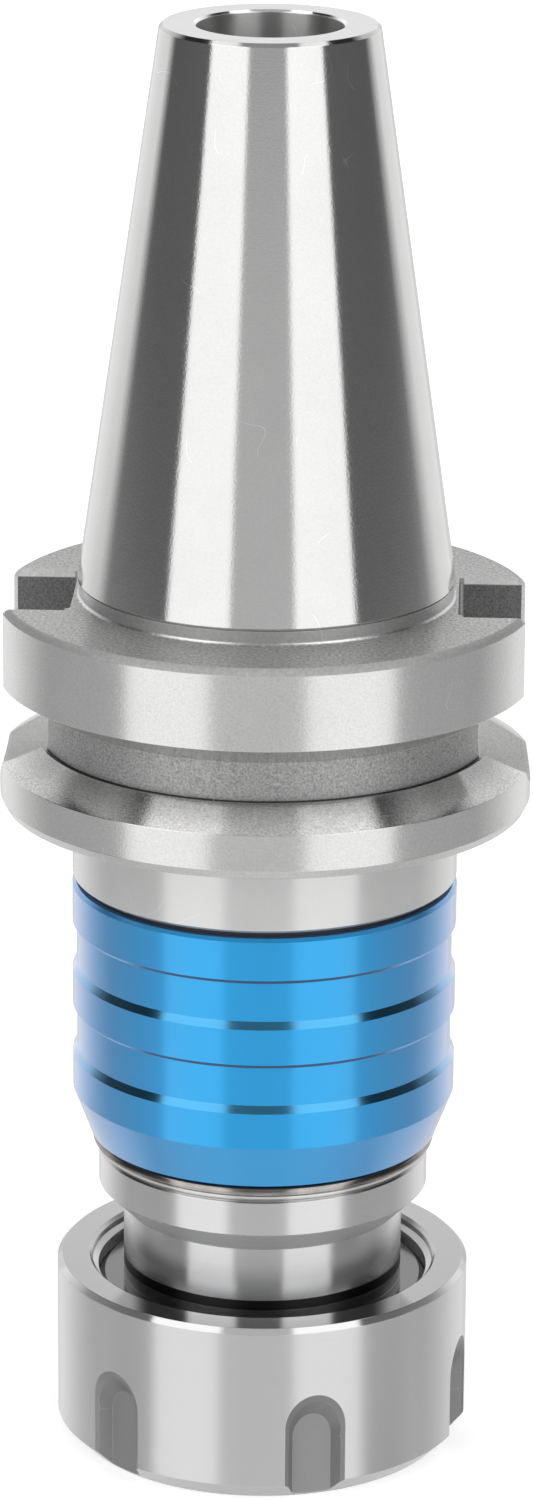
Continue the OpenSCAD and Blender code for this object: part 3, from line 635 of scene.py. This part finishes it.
def studio_light(g):
    """The room's light by direction, in bands from straight down to straight up."""
    x, y, z = g.add("ShaderNodeSeparateXYZ", {0: g.add("ShaderNodeTexCoord").outputs["Generated"]}).outputs
    # The boxes lean in over the top, so their edges run to a point behind it
    overhead = g.times(g.math("POWER", g.largest(z, 0.0), 3.0), 0.8)
    side = g.math("ARCTAN2", g.absolute(x), g.math("SUBTRACT", overhead, y))
    turn = g.math("DIVIDE", side, math.pi)
    right_side = g.math("GREATER_THAN", x, 0.0)

    def band(*lights, left=(21.5, 59.5, 104, 134), right=None):
        """Lights of centre, box, flank, backdrop and back; the edges are in degrees from the camera."""
        return g.mix_colour(right_side, light_round(g, turn, lights, left),
                            light_round(g, turn, lights, right or left))

    lean_left = (22, 60, 106, 138)
    lean_right = (19.7, 59.5, 106, 138)
    down = band(0.86, 0.88, 0.68, 0.9, 0.8)
    below = band(0.9, 1.6, 0.03, 0.9, 0.8, left=(21.5, 66, 90, 98))
    lower = band(0.77, 1.31, 0.60, 1.05, 0.8, left=lean_left, right=lean_right)
    low = band(0.77, 1.36, 0.50, 1.05, 0.8, left=lean_left, right=lean_right)
    level = band(0.69, 1.55, 0.14, 1.08, 0.75, left=(19.5, 59.5, 110, 122), right=(19.3, 57, 116, 132))
    high = band(0.17, 1.9, 0.09, 1.0, 1.15, left=(18, 59.5, 104, 134))
    upper = band(0.3, 1.6, 0.03, 0.8, 0.6, left=(18, 59.5, 116, 136))
    top = band(0.4, 1.35, 0.12, 0.7, 0.6)
    light = down
    for z_from, z_to, above in (
        (-0.8, -0.66, below), (-0.52, -0.43, lower), (-0.37, -0.33, low), (-0.24, -0.02, level),
        (0.04, 0.25, high), (0.3, 0.5, upper), (0.8, 0.95, top),
    ):
        light = g.mix_colour(g.step(z, z_from, z_to), light, above)
    return light


def studio():
    """A room with a tall soft box on each side of the camera, dark flanks and a pale backdrop."""
    world = bpy.data.worlds.new("studio")
    bpy.context.scene.world = world
    world.use_nodes = True
    g = Graph(world.node_tree)
    seen = g.add("ShaderNodeBackground", {"Color": (1, 1, 1, 1), "Strength": 1.0})
    lit = g.add("ShaderNodeBackground", {"Color": studio_light(g), "Strength": PEAK_LIGHT})
    camera_ray = g.add("ShaderNodeLightPath").outputs["Is Camera Ray"]
    both = g.add("ShaderNodeMixShader", {0: camera_ray, 1: lit.outputs[0], 2: seen.outputs[0]})
    g.add("ShaderNodeOutputWorld", {0: both.outputs[0]})


def floor_paper():
    """White paper, lifted a little for the camera and clear from below."""
    material = bpy.data.materials.new("floor")
    material.use_nodes = True
    g = Graph(material.node_tree)
    paper = g.add("ShaderNodeBsdfDiffuse", {"Color": (0.85, 0.85, 0.85, 1)})
    glow = g.times(g.add("ShaderNodeLightPath").outputs["Is Camera Ray"], 0.55)
    lift = g.add("ShaderNodeEmission", {"Color": (1, 1, 1, 1), "Strength": glow})
    both = g.add("ShaderNodeAddShader", {0: paper.outputs[0], 1: lift.outputs[0]})
    from_below = g.add("ShaderNodeNewGeometry").outputs["Backfacing"]
    clear = g.add("ShaderNodeBsdfTransparent")
    one_sided = g.add("ShaderNodeMixShader", {0: from_below, 1: both.outputs[0], 2: clear.outputs[0]})
    g.add("ShaderNodeOutputMaterial", {0: one_sided.outputs[0]})
    return material


def floor():
    """A white floor that keeps the holder's soft shadow and stays under the nut."""
    mesh = bmesh.new()
    bmesh.ops.create_grid(mesh, x_segments=8, y_segments=8, size=3.0)
    ground = add_object("floor", mesh, floor_paper())
    ground.location.z = Z_FLOOR - 0.02 * MM
    ground.visible_glossy = False
    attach(ground, "nut")


def camera():
    """The photograph's view, fitted to the edges in it: a long lens, a little above and to the right."""
    focal_px = 5837.9
    middle_x = 264.5
    middle_y = 900.0
    distance = 660.9 * MM
    height = 188.2 * MM
    turn = math.radians(2.3)
    pitch = 0.3328
    roll = 0.0067
    data = bpy.data.cameras.new("camera")
    data.sensor_width = SENSOR
    data.lens = focal_px / PHOTO_HEIGHT * SENSOR
    data.shift_x = (PHOTO_WIDTH / 2 - middle_x) / PHOTO_HEIGHT
    data.shift_y = (middle_y - PHOTO_HEIGHT / 2) / PHOTO_HEIGHT
    data.clip_start = 0.01
    data.clip_end = 20
    place = Vector((distance * math.sin(turn), -distance * math.cos(turn), height))
    forward = Vector((-math.sin(turn) * math.cos(pitch), math.cos(turn) * math.cos(pitch),
                      -math.sin(pitch)))
    right = Vector((math.cos(turn), math.sin(turn), 0))
    up = right.cross(forward)
    facing = Matrix((right, up, -forward)).transposed().to_4x4()
    eye = bpy.data.objects.new("camera", data)
    eye.matrix_world = Matrix.Translation(place) @ facing @ Matrix.Rotation(roll, 4, "Z")
    bpy.context.scene.collection.objects.link(eye)
    bpy.context.scene.camera = eye


camera()
studio()
floor()
materials = paint_nodes()
coil_spring(materials["spring_steel"])
bpy.context.scene.view_settings.view_transform = "Standard"
